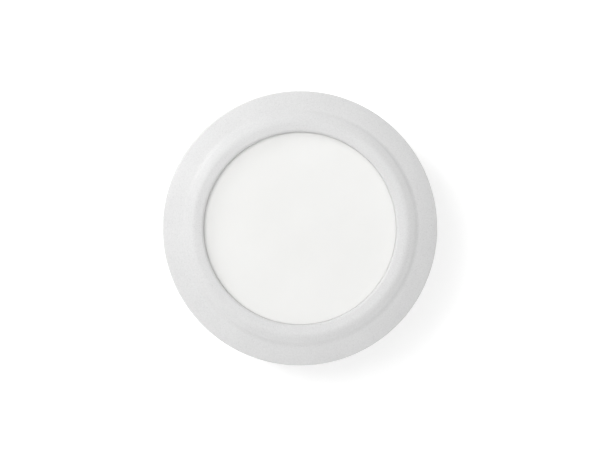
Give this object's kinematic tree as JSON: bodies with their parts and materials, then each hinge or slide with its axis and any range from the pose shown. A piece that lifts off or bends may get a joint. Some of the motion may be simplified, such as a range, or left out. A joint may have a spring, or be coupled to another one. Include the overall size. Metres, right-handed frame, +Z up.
{
  "type": "wall thermostat",
  "caption": "Round wall thermostat: a screwed base and a pull-off head with a turning ring and a frosted press lens.",
  "frame": {"origin": "centre of the two wall screws, on the back face that lies on the wall, and on the ring's axis", "axes": "+Y into the wall, the front faces -Y; +Z up the wall; +X to the right as seen from the front"},
  "size_m": [0.082, 0.0276, 0.082],
  "materials": {
    "ring_plastic": "fine speckled moulded texture",
    "lens_plastic": "frosted matte",
    "shell_plastic": "fine moulded texture",
    "inner_plastic": "moulded",
    "tab_plastic": "satin moulded",
    "circuit_board": "solder mask with tracks and pads",
    "chip_plastic": "moulded",
    "steel": "plated",
    "brass": "plated",
    "battery_foil": "foil pouch",
    "vial_clear": "clear",
    "level_liquid": "tinted liquid",
    "guide_clear": "polished light guide",
    "panel_dark": "dark display",
    "white_plastic": "low friction moulding",
    "ribbon_film": "polyimide film"
  },
  "bodies": {
    "base": {"wall_plate": "shell_plastic", "base_cover": "shell_plastic", "base_circuit_board": "circuit_board", "base_board_screws": "steel", "terminal_block_left": "inner_plastic", "terminal_block_right": "inner_plastic", "terminal_clamps": "brass", "base_socket": "chip_plastic", "socket_contacts": "brass", "guide_bushes": "inner_plastic", "level_vial": "vial_clear", "level_fluid": "level_liquid"},
    "head": {"rear_housing": "shell_plastic", "guide_posts": "shell_plastic", "chassis": "inner_plastic", "chassis_screws": "steel", "main_circuit_board": "circuit_board", "board_screws": "steel", "board_chips": "chip_plastic", "radio_shield": "steel", "battery": "battery_foil", "battery_tabs": "steel", "head_plug": "chip_plastic", "plug_pins": "brass", "ring_sensor": "chip_plastic", "climate_sensor": "chip_plastic", "sounder": "chip_plastic", "press_switch": "steel", "ribbon_connector": "white_plastic", "glide_ring": "white_plastic"},
    "dial": {"dial_ring": "ring_plastic", "ring_retainer": "inner_plastic", "retainer_screws": "steel", "code_band": "steel"},
    "display": {"lens": "lens_plastic", "lens_carrier": "inner_plastic", "display_frame": "steel", "light_guide": "guide_clear", "display_panel": "panel_dark", "display_ribbon": "ribbon_film", "return_springs": "steel"},
    "plunger": {"switch_plunger": "chip_plastic"},
    "tab_1": {"release_tab_1": "tab_plastic"},
    "tab_2": {"release_tab_2": "tab_plastic"},
    "tab_3": {"release_tab_3": "tab_plastic"},
    "tab_4": {"release_tab_4": "tab_plastic"},
    "tab_5": {"release_tab_5": "tab_plastic"},
    "tab_6": {"release_tab_6": "tab_plastic"}
  },
  "joints": [
    {"name": "head_pull_off", "type": "slide", "parent": "base", "child": "head", "axis": [0, -1, 0], "range_m": [0, 0.04]},
    {"name": "dial_turn", "type": "hinge", "parent": "head", "child": "dial", "pos_m": [0, 0, 0], "axis": [0, -1, 0], "continuous": true},
    {"name": "lens_press", "type": "slide", "parent": "head", "child": "display", "axis": [0, 1, 0], "range_m": [0, 0.0005], "stiffness_N_per_m": 2000, "springref_m": -0.001, "deforming": ["return_springs"]},
    {"name": "plunger_press", "type": "slide", "parent": "head", "child": "plunger", "axis": [0, 1, 0], "range_m": [0, 0.0005]},
    {"name": "tab_1_press", "type": "slide", "parent": "base", "child": "tab_1", "axis": [0, 1, 0], "range_m": [0, 0.001], "stiffness_N_per_m": 400, "springref_m": -0.001},
    {"name": "tab_2_press", "type": "slide", "parent": "base", "child": "tab_2", "axis": [0, 1, 0], "range_m": [0, 0.001], "stiffness_N_per_m": 400, "springref_m": -0.001},
    {"name": "tab_3_press", "type": "slide", "parent": "base", "child": "tab_3", "axis": [0, 1, 0], "range_m": [0, 0.001], "stiffness_N_per_m": 400, "springref_m": -0.001},
    {"name": "tab_4_press", "type": "slide", "parent": "base", "child": "tab_4", "axis": [0, 1, 0], "range_m": [0, 0.001], "stiffness_N_per_m": 400, "springref_m": -0.001},
    {"name": "tab_5_press", "type": "slide", "parent": "base", "child": "tab_5", "axis": [0, 1, 0], "range_m": [0, 0.001], "stiffness_N_per_m": 400, "springref_m": -0.001},
    {"name": "tab_6_press", "type": "slide", "parent": "base", "child": "tab_6", "axis": [0, 1, 0], "range_m": [0, 0.001], "stiffness_N_per_m": 400, "springref_m": -0.001}
  ],
  "couplings": [
    {"joint": "plunger_press", "follows": "lens_press", "ratio": 1}
  ]
}
